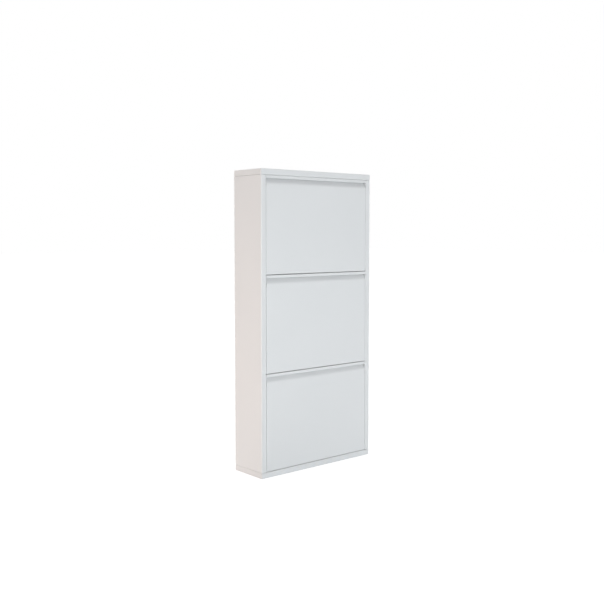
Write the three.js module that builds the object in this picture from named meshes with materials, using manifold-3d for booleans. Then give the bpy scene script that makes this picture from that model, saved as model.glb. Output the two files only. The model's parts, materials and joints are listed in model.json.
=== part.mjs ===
// A slim steel shoe cabinet with three tilting bins, one above the other.
// Millimetres. +Z is up, +Y points to the wall, and the origin is on the floor under the cabinet's middle.
// Each bin is a door front, a shoe tray, two cheeks and a rod, and it tilts forward on two low pivot pins.

import * as THREE from "three";
import { mergeVertices } from "three/addons/utils/BufferGeometryUtils.js";
import Module from "manifold-3d";

const wasm = await Module();
wasm.setup();

// Overall sizes
const WIDTH = 500;
const DEPTH = 150;
const HEIGHT = 1030;
const DOOR_NAMES = ["lower", "middle", "upper"];

// Sheet metal
const SHEET = 0.8;
const BEND = 1.6; // outer radius of a sharp fold
const BEND_STEPS = 3;
const BITE = 0.56; // how deep a welded edge starts inside the sheet, from its outer face
const TOUCH = 0.3; // gap between pieces that touch
const ROUND_STEPS = 16; // facets round a pin or a hole
const GRID = 1e-4; // points are snapped to this, so that faces in one plane stay in one plane

// Carcass
const FRAME = 20; // plain border round the doors, and the height of both trays
const RETURN_DEPTH = 18; // how far a side panel's inner return reaches back from the front
const REAR_FLANGE = 15;
const END_FLANGE = 14;
const TRAY_LIP = 15; // inward lip under the top tray's skirt
const STANDOFF = 0.6; // height of the base tray's skirt above the floor
const GLIDE_SIZE = 16;

// Doors
const BOTTOM_GAP = 1.5; // under the lowest door
const DOOR_GAP = 2; // between one door and the next
const SIDE_GAP = 1.5;
const DOOR_RETURN = 12; // depth of a door's side and bottom returns
const LIP = 10; // height of the lip along the door's top
const GRIP_OPENING = 17; // height of the finger groove below the lip
const GRIP_DEPTH = 14.5;
const GRIP_BEND = 14; // bend from the door's face into the groove
const GRIP_FOOT_BEND = 8;
const GRIP_TOP_BEND = 2.4;

// Pivots and stops
const PIVOT_INSET = 6; // behind the door's face
const PIVOT_HEIGHT = 20; // above the door's lower edge
const OPEN_ANGLE = 50;
const PIN_RADIUS = 2.5;
const PIN_REACH = 4; // how far a pin runs on past the inside of a bush
const HEAD_CLEARANCE = 0.7; // between a pin's head and the sheet of the door's face
const HEAD_HEIGHT = 1.4;
const BUSH_WALL = 0.7;
const BUSH_LENGTH = 3.6;
const COLLAR_WALL = 2;
const STOP_RADIUS = 4;
const STOP_REACH = 10.3;
const STOP_EDGE = 7; // from the stop stud's path to the back of the tray's floor
const BUFFER_RADIUS = 4;
const BUFFER_HEIGHT = 1.7;
const STEM_RADIUS = 1.8;
const TAB_REACH = 14;
const TAB_HEIGHT = 18;
const TAB_TOP = 1; // below the door's upper edge

// Bins
const TRAY_BACK_ROOM = 27; // from the back of the tray's floor to the cabinet's back
const TRAY_LEAN = 8; // how far the tray's rear wall leans back over its height
const TRAY_WALL = 150;
const TRAY_FRONT = 12; // flange behind the door's face
const TRAY_HEM = 6;
const CHEEK_BELOW_TOP = 42; // from the cheek's top to the door's top
const CHEEK_MARGIN = 1.4; // cheek behind the tray's rear wall
const ROD_RADIUS = 3;
const ROD_BELOW_CHEEK = 70;
const ROD_FORWARD = 18; // from the back of the tray's floor

// Fasteners and wall fixing
const SCREW_RADIUS = 1.7;
const SCREW_HEAD_RADIUS = 3.4;
const SCREW_HEAD_HEIGHT = 1.8;
const SCREW_LENGTH = 4.4;
const SCREW_FROM_SIDE = 8.5;
const SCREW_FROM_END = 30;
const WALL_HOLE_RADIUS = 3.2;
const WALL_HOLE_FROM_SIDE = 90;
const WALL_HOLE_FROM_TOP = 65;
const WALL_PLATE_WIDTH = 50;
const WALL_PLATE_HEIGHT = 26;
const WALL_PLATE_SHEET = 1.5;

// Places worked out from the sizes
const front = -DEPTH / 2;
const rear = DEPTH / 2;
const side = WIDTH / 2;
const returnFace = side - FRAME;
const doorHalf = returnFace - SIDE_GAP;
const panelHeight = HEIGHT - 2 * FRAME - 2 * TOUCH;
const pitch = (HEIGHT - 2 * FRAME) / DOOR_NAMES.length;
const doorHeight = pitch - DOOR_GAP;
const doorBottom = (index) => FRAME + BOTTOM_GAP + index * pitch;
const pivotY = front + PIVOT_INSET;
const cheekFace = doorHalf - SHEET - TOUCH; // outer face of a cheek
const cheekInside = cheekFace - SHEET;
const trayHalf = cheekInside - TOUCH;
const trayBack = rear - TRAY_BACK_ROOM;
const trayFloor = SHEET + TOUCH;
const cheekTop = doorHeight - CHEEK_BELOW_TOP;
const holeRadius = PIN_RADIUS + TOUCH;
const headRadius = PIVOT_INSET - SHEET - HEAD_CLEARANCE;
const bushRadius = holeRadius + BUSH_WALL;
const grooveBack = front + GRIP_DEPTH + SHEET; // rear of the groove's own sheet
const bufferY = grooveBack + TOUCH;
const tabY = bufferY + BUFFER_HEIGHT + TOUCH;
const bufferHeight = doorHeight - LIP + BUFFER_RADIUS;
const stopPath = trayBack - pivotY - STOP_EDGE; // radius of the stop stud's path
const stopAhead = RETURN_DEPTH - PIVOT_INSET + STOP_RADIUS + TOUCH; // behind the pivot, when the door is open
const stopAngle = Math.acos(stopAhead / stopPath) - THREE.MathUtils.degToRad(OPEN_ANGLE);
const stopY = pivotY + stopPath * Math.cos(stopAngle);
const stopZ = PIVOT_HEIGHT + stopPath * Math.sin(stopAngle);
const rodY = trayBack - ROD_FORWARD;
const rodZ = cheekTop - ROD_BELOW_CHEEK;
const backPanelY = rear - SHEET - TOUCH; // rear face of the back panel
const bufferX = returnFace - TAB_REACH / 2;
const wallHoleX = side - WALL_HOLE_FROM_SIDE;
const bothHands = [-1, 1]; // left and right
const screwRows = [front + SCREW_FROM_END, rear - SCREW_FROM_END];

// Solids

function solidOf(geometry) {
  const bare = geometry.index ? geometry.toNonIndexed() : geometry.clone();
  bare.deleteAttribute("normal");
  bare.deleteAttribute("uv");
  const merged = mergeVertices(bare, GRID);
  const vertProperties = merged.attributes.position.array.map((place) => Math.round(place / GRID) * GRID);
  const triVerts = new Uint32Array(merged.index.array);
  return new wasm.Manifold(new wasm.Mesh({ numProp: 3, vertProperties, triVerts }));
}

function geometryOf(solid) {
  const { vertProperties, triVerts } = solid.getMesh();
  const geometry = new THREE.BufferGeometry();
  geometry.setAttribute("position", new THREE.BufferAttribute(new Float32Array(vertProperties), 3));
  geometry.setIndex(new THREE.BufferAttribute(new Uint32Array(triVerts), 1));
  geometry.computeVertexNormals();
  return geometry;
}

function inOrder(a, b) {
  return a < b ? [a, b] : [b, a];
}

function join(solids) {
  return solids.reduce((whole, piece) => whole.add(piece));
}

function cut(solid, tools) {
  return tools.reduce((rest, tool) => rest.subtract(tool), solid);
}

function block([x0, x1], [y0, y1], [z0, z1]) {
  const geometry = new THREE.BoxGeometry(Math.abs(x1 - x0), Math.abs(y1 - y0), Math.abs(z1 - z0));
  geometry.translate((x0 + x1) / 2, (y0 + y1) / 2, (z0 + z1) / 2);
  return solidOf(geometry);
}

// Turns a geometry made round its own Y axis so that it lies along X, Y or Z.
function lay(geometry, axis) {
  if (axis === "x") geometry.rotateZ(-Math.PI / 2);
  if (axis === "z") geometry.rotateX(Math.PI / 2);
  return geometry;
}

function cylinder(axis, radius, from, to, [a, b]) {
  const geometry = new THREE.CylinderGeometry(radius, radius, to - from, ROUND_STEPS);
  lay(geometry, axis);
  const middle = (from + to) / 2;
  if (axis === "x") geometry.translate(middle, a, b);
  if (axis === "y") geometry.translate(a, middle, b);
  if (axis === "z") geometry.translate(a, b, middle);
  return solidOf(geometry);
}

function extruded(shape, depth) {
  return new THREE.ExtrudeGeometry(shape, { depth, bevelEnabled: false, curveSegments: BEND_STEPS });
}

// Extrudes an outline drawn in X and Y up along Z.
function standing(shape, z0, z1) {
  const geometry = extruded(shape, z1 - z0);
  geometry.translate(0, 0, z0);
  return solidOf(geometry);
}

// Extrudes an outline drawn in Y and Z across along X.
function across(shape, x0, x1) {
  const geometry = extruded(shape, x1 - x0);
  const turn = new THREE.Matrix4();
  turn.makeBasis(new THREE.Vector3(0, 1, 0), new THREE.Vector3(0, 0, 1), new THREE.Vector3(1, 0, 0));
  geometry.applyMatrix4(turn);
  geometry.translate(x0, 0, 0);
  return solidOf(geometry);
}

// The outline of a folded sheet. Its face follows the corners, and its metal lies on the walk's right.
// A corner may carry the outer radius of its bend as a third number.
function folded(corners) {
  const points = corners.map(([a, b]) => new THREE.Vector2(a, b));
  const rightOf = (way) => new THREE.Vector2(way.y, -way.x);
  const wayTo = (index) => points[index + 1].clone().sub(points[index]).normalize();
  const last = points.length - 1;
  const face = [points[0]];
  const back = [points[0].clone().addScaledVector(rightOf(wayTo(0)), SHEET)];
  for (let index = 1; index < last; index += 1) {
    const before = wayTo(index - 1);
    const after = wayTo(index);
    const turnsRight = before.cross(after) < 0;
    const outer = corners[index][2] ?? BEND;
    const radius = turnsRight ? outer : outer - SHEET;
    const backRadius = turnsRight ? outer - SHEET : outer;
    const angle = Math.acos(before.dot(after));
    const start = points[index].clone().addScaledVector(before, -radius * Math.tan(angle / 2));
    const inward = rightOf(before).multiplyScalar(turnsRight ? 1 : -1);
    const centre = start.clone().addScaledVector(inward, radius);
    for (let step = 0; step <= BEND_STEPS; step += 1) {
      const swept = (angle * step * (turnsRight ? -1 : 1)) / BEND_STEPS;
      const arm = inward.clone().negate().rotateAround(new THREE.Vector2(), swept);
      face.push(centre.clone().addScaledVector(arm, radius));
      back.push(centre.clone().addScaledVector(arm, backRadius));
    }
  }
  face.push(points[last]);
  back.push(points[last].clone().addScaledVector(rightOf(wayTo(last - 1)), SHEET));
  return new THREE.Shape(face.concat(back.reverse()));
}

// A closed outline whose corners are rounded with the radius that each carries.
function rounded(corners) {
  const count = corners.length;
  const points = corners.map(([a, b]) => new THREE.Vector2(a, b));
  const shape = new THREE.Shape();
  corners.forEach(([, , radius], index) => {
    const corner = points[index];
    const before = points[(index + count - 1) % count].clone().sub(corner).normalize();
    const after = points[(index + 1) % count].clone().sub(corner).normalize();
    const cutBack = radius / Math.tan(Math.acos(before.dot(after)) / 2);
    const start = corner.clone().addScaledVector(before, cutBack);
    const end = corner.clone().addScaledVector(after, cutBack);
    if (index === 0) shape.moveTo(start.x, start.y);
    else shape.lineTo(start.x, start.y);
    shape.quadraticCurveTo(corner.x, corner.y, end.x, end.y);
  });
  return shape;
}

// A rectangle in X and Y about the origin, with rounded corners.
function rectangle(halfX, halfY, radius) {
  const corners = [[-halfX, -halfY], [halfX, -halfY], [halfX, halfY], [-halfX, halfY]];
  return rounded(corners.map(([x, y]) => [x, y, radius]));
}

// A band of the given width inside such a rectangle.
function ring(halfX, halfY, radius, band, innerRadius) {
  const shape = rectangle(halfX, halfY, radius);
  shape.holes.push(rectangle(halfX - band, halfY - band, innerRadius));
  return shape;
}

// A turned piece: its profile is [radius, place along the axis], walked up the outside.
function turned(profile, axis) {
  const points = profile.map(([radius, along]) => new THREE.Vector2(radius, along));
  return lay(new THREE.LatheGeometry(points, ROUND_STEPS), axis);
}

// Materials

function paint() {
  return new THREE.MeshStandardMaterial({ color: 0xe3e5e6, roughness: 0.42, metalness: 0.0 });
}

function zincSteel() {
  return new THREE.MeshStandardMaterial({ color: 0xb4b6b8, roughness: 0.35, metalness: 0.9 });
}

function nylon() {
  return new THREE.MeshStandardMaterial({ color: 0xd9d9d4, roughness: 0.55, metalness: 0.0 });
}

function darkPlastic() {
  return new THREE.MeshStandardMaterial({ color: 0x3a3b3d, roughness: 0.6, metalness: 0.0 });
}

function rubber() {
  return new THREE.MeshStandardMaterial({ color: 0x9a9b9c, roughness: 0.8, metalness: 0.0 });
}

function piece(name, geometry, material, [x, y, z] = [0, 0, 0]) {
  const mesh = new THREE.Mesh(geometry, material);
  mesh.name = name;
  mesh.position.set(x, y, z);
  return mesh;
}

// Carcass

// hand is -1 for the left panel and 1 for the right one.
function sidePanel(hand) {
  const walk = [
    [hand * returnFace, front + RETURN_DEPTH],
    [hand * returnFace, front],
    [hand * side, front],
    [hand * side, rear],
    [hand * (side - REAR_FLANGE), rear],
  ];
  const skin = standing(folded(hand < 0 ? walk : walk.reverse()), 0, panelHeight);
  const flangeX = [hand * (side - BITE), hand * (side - END_FLANGE)];
  const flangeY = [front + BITE, rear - BITE];
  const ends = [
    block(flangeX, flangeY, [0, SHEET]),
    block(flangeX, flangeY, [panelHeight - SHEET, panelHeight]),
  ];
  const tabs = [];
  const holes = [];
  DOOR_NAMES.forEach((_, index) => {
    const base = doorBottom(index) - FRAME - TOUCH;
    const top = base + doorHeight - TAB_TOP;
    const tabZ = [top - TAB_HEIGHT, top];
    const metal = [hand * returnFace, hand * (returnFace + SHEET)];
    tabs.push(block([metal[1], hand * (returnFace - TAB_REACH)], [tabY, tabY + SHEET], tabZ));
    tabs.push(block(metal, [front + RETURN_DEPTH - SHEET, tabY + SHEET], tabZ));
    const through = inOrder(hand * (returnFace - SHEET), hand * (returnFace + 2 * SHEET));
    holes.push(cylinder("x", bushRadius + TOUCH, ...through, [pivotY, base + PIVOT_HEIGHT]));
    const bufferPlace = [hand * bufferX, base + bufferHeight];
    holes.push(cylinder("y", STEM_RADIUS + TOUCH, tabY - SHEET, tabY + 2 * SHEET, bufferPlace));
  });
  for (const y of screwRows) {
    const place = [hand * (side - SCREW_FROM_SIDE), y];
    holes.push(cylinder("z", SCREW_RADIUS + TOUCH, -SHEET, 2 * SHEET, place));
    holes.push(cylinder("z", SCREW_RADIUS + TOUCH, panelHeight - 2 * SHEET, panelHeight + SHEET, place));
  }
  return geometryOf(cut(join([skin, ...ends, ...tabs]), holes));
}

function screwHoles(z0, z1) {
  return bothHands.flatMap((hand) =>
    screwRows.map((y) => cylinder("z", SCREW_RADIUS + TOUCH, z0, z1, [hand * (side - SCREW_FROM_SIDE), y])),
  );
}

function topTray() {
  const plate = standing(rectangle(side, rear, BEND), FRAME - SHEET, FRAME);
  const skirt = standing(ring(side, rear, BEND, SHEET, BEND - SHEET), 0, FRAME);
  const lip = standing(ring(side, rear, BEND, TRAY_LIP, BEND), 0, SHEET);
  return geometryOf(cut(join([plate, skirt, lip]), screwHoles(-SHEET, 2 * SHEET)));
}

function baseTray() {
  const plate = standing(rectangle(side, rear, BEND), FRAME - SHEET, FRAME);
  const skirt = standing(ring(side, rear, BEND, SHEET, BEND - SHEET), STANDOFF, FRAME);
  return geometryOf(cut(join([plate, skirt]), screwHoles(FRAME - 2 * SHEET, FRAME + SHEET)));
}

function wallHoles(y0, y1, z) {
  return bothHands.map((hand) => cylinder("y", WALL_HOLE_RADIUS, y0, y1, [hand * wallHoleX, z]));
}

function backPanel() {
  const half = side - BEND - TOUCH; // clear of the bends into the rear flanges
  const clear = SHEET + TOUCH; // clear of the end flanges
  const sheet = block([-half, half], [backPanelY - SHEET, backPanelY], [clear, panelHeight - clear]);
  const holeZ = HEIGHT - WALL_HOLE_FROM_TOP - FRAME - TOUCH;
  return geometryOf(cut(sheet, wallHoles(backPanelY - 2 * SHEET, rear, holeZ)));
}

function wallPlate() {
  const halfX = WALL_PLATE_WIDTH / 2;
  const halfZ = WALL_PLATE_HEIGHT / 2;
  const plate = block([-halfX, halfX], [-WALL_PLATE_SHEET, 0], [-halfZ, halfZ]);
  const hole = cylinder("y", WALL_HOLE_RADIUS, -2 * WALL_PLATE_SHEET, WALL_PLATE_SHEET, [0, 0]);
  return geometryOf(cut(plate, [hole]));
}

function glide() {
  const half = GLIDE_SIZE / 2;
  return geometryOf(standing(rectangle(half, half, BEND), 0, FRAME - SHEET - TOUCH));
}

// Head up, shank down, with the underside of the head at zero.
function screw() {
  const profile = [
    [0, -SCREW_LENGTH],
    [SCREW_RADIUS, -SCREW_LENGTH],
    [SCREW_RADIUS, 0],
    [SCREW_HEAD_RADIUS, 0],
    [SCREW_HEAD_RADIUS, SCREW_HEAD_HEIGHT / 2],
    [SCREW_HEAD_RADIUS / 2, SCREW_HEAD_HEIGHT],
    [0, SCREW_HEAD_HEIGHT],
  ];
  return turned(profile, "z");
}

// The collar sits at zero, between the return and the door, and the sleeve runs away from it along +X.
function bush() {
  const collar = SIDE_GAP - 2 * TOUCH;
  const lipStart = collar + SHEET + 2 * TOUCH;
  const profile = [
    [holeRadius, 0],
    [holeRadius + COLLAR_WALL, 0],
    [holeRadius + COLLAR_WALL, collar],
    [bushRadius, collar],
    [bushRadius, lipStart],
    [bushRadius + BUSH_WALL, lipStart],
    [bushRadius, BUSH_LENGTH],
    [holeRadius, BUSH_LENGTH],
    [holeRadius, 0],
  ];
  return turned(profile, "x");
}

// The pad sits in front of the tab, its stem passes the hole, and a bulb holds it from behind.
function buffer() {
  const stem = SHEET + 2 * TOUCH;
  const profile = [
    [0, 0],
    [BUFFER_RADIUS, 0],
    [BUFFER_RADIUS, BUFFER_HEIGHT],
    [STEM_RADIUS, BUFFER_HEIGHT],
    [STEM_RADIUS, BUFFER_HEIGHT + stem],
    [STEM_RADIUS + SHEET, BUFFER_HEIGHT + stem],
    [STEM_RADIUS / 2, BUFFER_HEIGHT + stem + STEM_RADIUS],
    [0, BUFFER_HEIGHT + stem + STEM_RADIUS],
  ];
  return turned(profile, "y");
}

// Bins

function doorFront() {
  const grooveFoot = doorHeight - LIP - GRIP_OPENING;
  const walk = [
    [front + DOOR_RETURN, 0],
    [front, 0],
    [front, grooveFoot, GRIP_BEND],
    [front + GRIP_DEPTH, doorHeight - LIP, GRIP_FOOT_BEND],
    [front + GRIP_DEPTH, doorHeight - SHEET, GRIP_TOP_BEND],
    [front + SHEET, doorHeight - SHEET],
    [front + SHEET, doorHeight - LIP],
  ];
  const face = across(folded(walk), -doorHalf, doorHalf);
  const returnY = [front + BITE, front + DOOR_RETURN];
  const returnZ = [BITE, grooveFoot - GRIP_BEND / 3];
  const returns = bothHands.map((hand) => {
    const returnX = [hand * doorHalf, hand * (doorHalf - SHEET)];
    return block(returnX, returnY, returnZ);
  });
  const pivotHole = cylinder("x", holeRadius, -side, side, [pivotY, PIVOT_HEIGHT]);
  return geometryOf(cut(join([face, ...returns]), [pivotHole]));
}

function shoeTray() {
  const faceY = front + SHEET + TOUCH;
  const walk = [
    [faceY, trayFloor + TRAY_FRONT],
    [faceY, trayFloor],
    [trayBack, trayFloor],
    [trayBack + TRAY_LEAN, TRAY_WALL],
    [trayBack + TRAY_LEAN + TRAY_HEM, TRAY_WALL],
  ];
  return geometryOf(across(folded(walk.reverse()), -trayHalf, trayHalf));
}

function cheek(hand) {
  const faceY = front + SHEET + TOUCH;
  const foot = trayFloor;
  const outline = rounded([
    [faceY, foot, 1],
    [trayBack + CHEEK_MARGIN, foot, 4],
    [trayBack + TRAY_LEAN + CHEEK_MARGIN, TRAY_WALL, 30],
    [rodY + 4 * ROD_RADIUS, rodZ + 6 * ROD_RADIUS, 14],
    [faceY + DOOR_RETURN, cheekTop, 30],
    [faceY, cheekTop, 1],
  ]);
  const plane = inOrder(hand * cheekFace, hand * cheekInside);
  const plate = across(outline, ...plane);
  const tools = [
    [holeRadius, pivotY, PIVOT_HEIGHT],
    [holeRadius, stopY, stopZ],
    [ROD_RADIUS + TOUCH, rodY, rodZ],
  ];
  const through = [plane[0] - SHEET, plane[1] + SHEET];
  const holes = tools.map(([radius, y, z]) => cylinder("x", radius, ...through, [y, z]));
  return geometryOf(cut(plate, holes));
}

function rod() {
  const length = 2 * cheekFace - TOUCH;
  return lay(new THREE.CylinderGeometry(ROD_RADIUS, ROD_RADIUS, length, ROUND_STEPS), "x");
}

// A headed pin: the head ends at zero, and the shank runs away from it along +X.
function headedPin(steps) {
  const profile = [[0, -HEAD_HEIGHT], [headRadius, -HEAD_HEIGHT], [headRadius, 0], ...steps];
  profile.push([0, steps.at(-1)[1]]);
  return turned(profile, "x");
}

function pivotPin() {
  const length = returnFace + BUSH_LENGTH + PIN_REACH - TOUCH - trayHalf;
  return headedPin([[PIN_RADIUS, 0], [PIN_RADIUS, length]]);
}

function stopStud() {
  const neck = SHEET + 2 * TOUCH;
  const end = neck + STOP_REACH;
  return headedPin([[PIN_RADIUS, 0], [PIN_RADIUS, neck], [STOP_RADIUS, neck], [STOP_RADIUS, end]]);
}

// Assembly

function nameOf(hand) {
  return hand < 0 ? "left" : "right";
}

// Turns a piece made for the right side round, for the left side.
function placed(mesh, hand) {
  if (hand < 0) mesh.rotation.z = Math.PI;
  return mesh;
}

function carcass() {
  const group = new THREE.Group();
  const seat = FRAME + TOUCH;
  group.add(piece("top_tray", topTray(), paint(), [0, 0, HEIGHT - FRAME]));
  group.add(piece("base_tray", baseTray(), paint()));
  group.add(piece("back_panel", backPanel(), paint(), [0, 0, seat]));
  for (const hand of bothHands) {
    const handName = nameOf(hand);
    group.add(piece("side_panel_" + handName, sidePanel(hand), paint(), [0, 0, seat]));
    const platePlace = [hand * wallHoleX, backPanelY - SHEET - TOUCH, HEIGHT - WALL_HOLE_FROM_TOP];
    group.add(piece("wall_plate_" + handName, wallPlate(), zincSteel(), platePlace));
    for (const [end, endName] of [[-1, "front"], [1, "rear"]]) {
      const corner = endName + "_" + handName;
      const inset = SHEET + TOUCH + GLIDE_SIZE / 2;
      const glidePlace = [hand * (side - inset), end * (rear - inset), 0];
      group.add(piece("glide_" + corner, glide(), darkPlastic(), glidePlace));
      const screwX = hand * (side - SCREW_FROM_SIDE);
      const screwY = end * (rear - SCREW_FROM_END);
      const underTop = seat + panelHeight - SHEET - TOUCH;
      const overBase = seat + SHEET + TOUCH;
      const topScrew = piece("top_screw_" + corner, screw(), zincSteel(), [screwX, screwY, underTop]);
      topScrew.rotation.x = Math.PI;
      group.add(topScrew);
      group.add(piece("base_screw_" + corner, screw(), zincSteel(), [screwX, screwY, overBase]));
    }
    DOOR_NAMES.forEach((doorName, index) => {
      const base = doorBottom(index);
      const bushPlace = [hand * (doorHalf + TOUCH), pivotY, base + PIVOT_HEIGHT];
      group.add(placed(piece(doorName + "_bush_" + handName, bush(), nylon(), bushPlace), hand));
      const bufferPlace = [hand * bufferX, bufferY, base + bufferHeight];
      group.add(piece(doorName + "_buffer_" + handName, buffer(), rubber(), bufferPlace));
    });
  }
  return group;
}

function bin(doorName, index) {
  const group = new THREE.Group();
  group.position.z = doorBottom(index);
  group.add(piece(doorName + "_door_front", doorFront(), paint()));
  group.add(piece(doorName + "_shoe_tray", shoeTray(), paint()));
  group.add(piece(doorName + "_rod", rod(), zincSteel(), [0, rodY, rodZ]));
  for (const hand of bothHands) {
    const handName = nameOf(hand);
    group.add(piece(doorName + "_cheek_" + handName, cheek(hand), paint()));
    const pinPlace = [hand * trayHalf, pivotY, PIVOT_HEIGHT];
    group.add(placed(piece(doorName + "_pivot_pin_" + handName, pivotPin(), zincSteel(), pinPlace), hand));
    const studPlace = [hand * trayHalf, stopY, stopZ];
    group.add(placed(piece(doorName + "_stop_stud_" + handName, stopStud(), nylon(), studPlace), hand));
  }
  return group;
}

const cabinet = new THREE.Group();
cabinet.add(carcass());
DOOR_NAMES.forEach((doorName, index) => cabinet.add(bin(doorName, index)));

export default cabinet;
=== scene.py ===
# A slim sheet-steel shoe cabinet with three tilting bins, one above the other.
# Metres. +Z is up, +Y points to the wall, and the origin is on the floor under the cabinet's middle.
# Every CAD node has one finished piece here, made the way the shop makes it: folded, cut, turned or moulded.

import json
import math

import bmesh
import bpy
import numpy as np
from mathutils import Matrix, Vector
from mathutils.geometry import tessellate_polygon


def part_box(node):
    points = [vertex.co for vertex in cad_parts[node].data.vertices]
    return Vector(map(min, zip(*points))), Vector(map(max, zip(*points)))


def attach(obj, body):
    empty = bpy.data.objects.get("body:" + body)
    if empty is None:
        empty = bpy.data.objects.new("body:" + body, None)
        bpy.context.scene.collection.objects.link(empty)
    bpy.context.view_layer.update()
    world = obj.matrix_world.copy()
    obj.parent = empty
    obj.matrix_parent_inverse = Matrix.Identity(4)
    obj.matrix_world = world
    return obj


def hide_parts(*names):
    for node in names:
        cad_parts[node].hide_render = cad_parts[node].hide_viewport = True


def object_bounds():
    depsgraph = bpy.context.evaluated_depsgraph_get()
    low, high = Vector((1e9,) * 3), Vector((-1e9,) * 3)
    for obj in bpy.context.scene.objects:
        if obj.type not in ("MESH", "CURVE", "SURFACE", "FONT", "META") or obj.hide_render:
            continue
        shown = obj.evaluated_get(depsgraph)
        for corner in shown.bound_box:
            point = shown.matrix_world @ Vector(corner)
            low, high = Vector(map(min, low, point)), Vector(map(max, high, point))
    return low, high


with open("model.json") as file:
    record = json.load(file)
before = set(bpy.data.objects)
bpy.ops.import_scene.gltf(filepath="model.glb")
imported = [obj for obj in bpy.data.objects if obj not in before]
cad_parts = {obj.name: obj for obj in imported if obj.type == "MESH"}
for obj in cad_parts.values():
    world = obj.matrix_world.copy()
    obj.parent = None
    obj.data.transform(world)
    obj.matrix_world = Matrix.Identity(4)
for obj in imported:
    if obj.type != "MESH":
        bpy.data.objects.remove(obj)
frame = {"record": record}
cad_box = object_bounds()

MM = 0.001

# Sheet metal
SHEET = 0.8 * MM
BEND = 1.6 * MM  # outer radius of a sharp fold
RELIEF = 0.6 * MM  # slot cut where a fold ends
RIM = 0.2 * MM  # rounding of a cut edge
RIM_ANGLE = 50  # an edge that turns by more degrees than this is a cut edge
SOFT = 0.15 * MM  # rounding of a turned or moulded piece's inner corner
GUARD = 0.5 * MM  # a flat run's extra row lies this far from its bends, so that its shading stays flat
QUARTER_STEPS = 8  # facets in a quarter turn
ROUND_STEPS = 48  # facets round a pin or a hole
WELD = 0.002 * MM  # points closer than this are one point
SAME_WAY = 1e-9  # directions closer than this are the same
STRAIGHT = 1e-6  # a corner that turns less than this, in radians, has no bend

# Carcass
FRAME = 20 * MM
RETURN_DEPTH = 18 * MM
REAR_FLANGE = 15 * MM
END_FLANGE = 14 * MM
TRAY_LIP = 15 * MM
TRAY_SEAM = 0.35 * MM  # how far the back panel runs on towards each tray, about 1 mm short of it
TAB_REACH = 14 * MM
TAB_HEIGHT = 18 * MM
TAB_BELOW_TOP = 1 * MM  # from a tab's top to its door's top
WALL_HOLE = 3.2 * MM  # radius
PANEL_CORNER = 1.5 * MM
PLATE_CORNER = 3 * MM

# Doors
DOOR_NAMES = ["lower", "middle", "upper"]
DOOR_RETURN = 12 * MM
LIP = 10 * MM
GRIP_OPENING = 17 * MM
GRIP_BEND = 14 * MM
GRIP_FOOT_BEND = 8 * MM
GRIP_TOP_BEND = 2.4 * MM

# Bins
TRAY_LEAN = 8 * MM
TRAY_HEM = 6 * MM
TRAY_FRONT = 12 * MM  # height of the shoe tray's front flange
CHEEK_MARGIN = 1.4 * MM  # how far a cheek stands out behind the tray's rear wall
ROD_ROUNDING = 0.6 * MM

# Pins and studs
PIN_RADIUS = 2.5 * MM
NOSE = 0.8 * MM  # length of a pivot pin's tapered nose
NOSE_TAPER = 0.6 * MM  # how much smaller the nose's radius is at its end
HEAD_RADIUS = 4.5 * MM
HEAD_HEIGHT = 1.4 * MM
HEAD_EDGE = 0.7 * MM
STUD_RADIUS = 4 * MM
STUD_NECK = 1.4 * MM
STUD_EDGE = 0.8 * MM
HOLE_CLEARANCE = 0.3 * MM

# Bushes and buffers
BUSH_WALL = 0.7 * MM
COLLAR_WALL = 2 * MM
COLLAR = 0.9 * MM
BUSH_BEAD = 2.3 * MM  # from a bush's collar face to the bead behind the return
STEM_RADIUS = 1.8 * MM
PAD = 1.7 * MM
STEM = 1.4 * MM

# Screws and glides
SCREW_RADIUS = 1.7 * MM
SCREW_HEAD = 1.8 * MM
SCREW_POINT = 0.5 * MM  # length of the bevel at the shank's end
SCREW_POINT_RADIUS = 1.1 * MM
SCREW_HEAD_TAPER = 0.92  # the head's radius at its top, for 1 at its seat
THREAD_PITCH = 0.7 * MM
THREAD_DEPTH = 0.22 * MM
THREAD_ROWS = 60
HEAD_RINGS = 16
HEAD_CROWN = 0.3 * MM  # points this near to a screw's top belong to its upper face
CROSS_HALF_WIDTH = 0.5 * MM
CROSS_REACH = 1.8 * MM
CROSS_DEPTH = 1.0 * MM
CROSS_WALL = 0.15 * MM  # how far a slot's side wall leans
CROSS_RAMP = 0.5 * MM  # how far a slot's end slopes
SOLE_BEVEL = 1.2 * MM
GLIDE_GROOVE = 0.5 * MM  # depth
GLIDE_NECK = 0.7  # the groove's height, for 1 at the glide's top

# Camera, with its angles in degrees
LENS = 50.32
LENS_SHIFT = -0.03
CAMERA_PLACE = (-1.9446, -2.2628, 0.818)
LOOKS_DOWN = 3.43
LOOKS_RIGHT = 40.52

# Studio
WORLD_LIGHT = 0.35
FLOOR_REACH = 30.0
FLOOR_GLOW = 0.93  # what the camera sees of the floor, besides its paint
FLOOR_PAINT = (0.3, 0.3, 0.3)
FLOOR_BOUNCE = (0.75, 0.75, 0.75)  # what everything but the camera sees of the floor
COOL = (0.94, 0.975, 1.0)
BLUER = (0.87, 0.955, 1.0)
WARM = (1.0, 0.775, 0.645)
CREAM = (1.0, 0.99, 0.98)
WHITE = (1.0, 1.0, 1.0)

BODY_OF = {node: body for body, nodes in frame["record"]["behaviour"]["bodies"].items() for node in nodes}
SLOT_OF = {part["node"]: part["material_slot"] for part in frame["record"]["subparts"]}


# Lines and grids


def run_points(start, end, guard):
    """The points inside a straight run: one guard distance from each end, if the run is long enough."""
    length = np.linalg.norm(end - start)
    if not guard or length < 3 * guard:
        return []
    way = (end - start) / length
    return [start + guard * way, end - guard * way]


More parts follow.
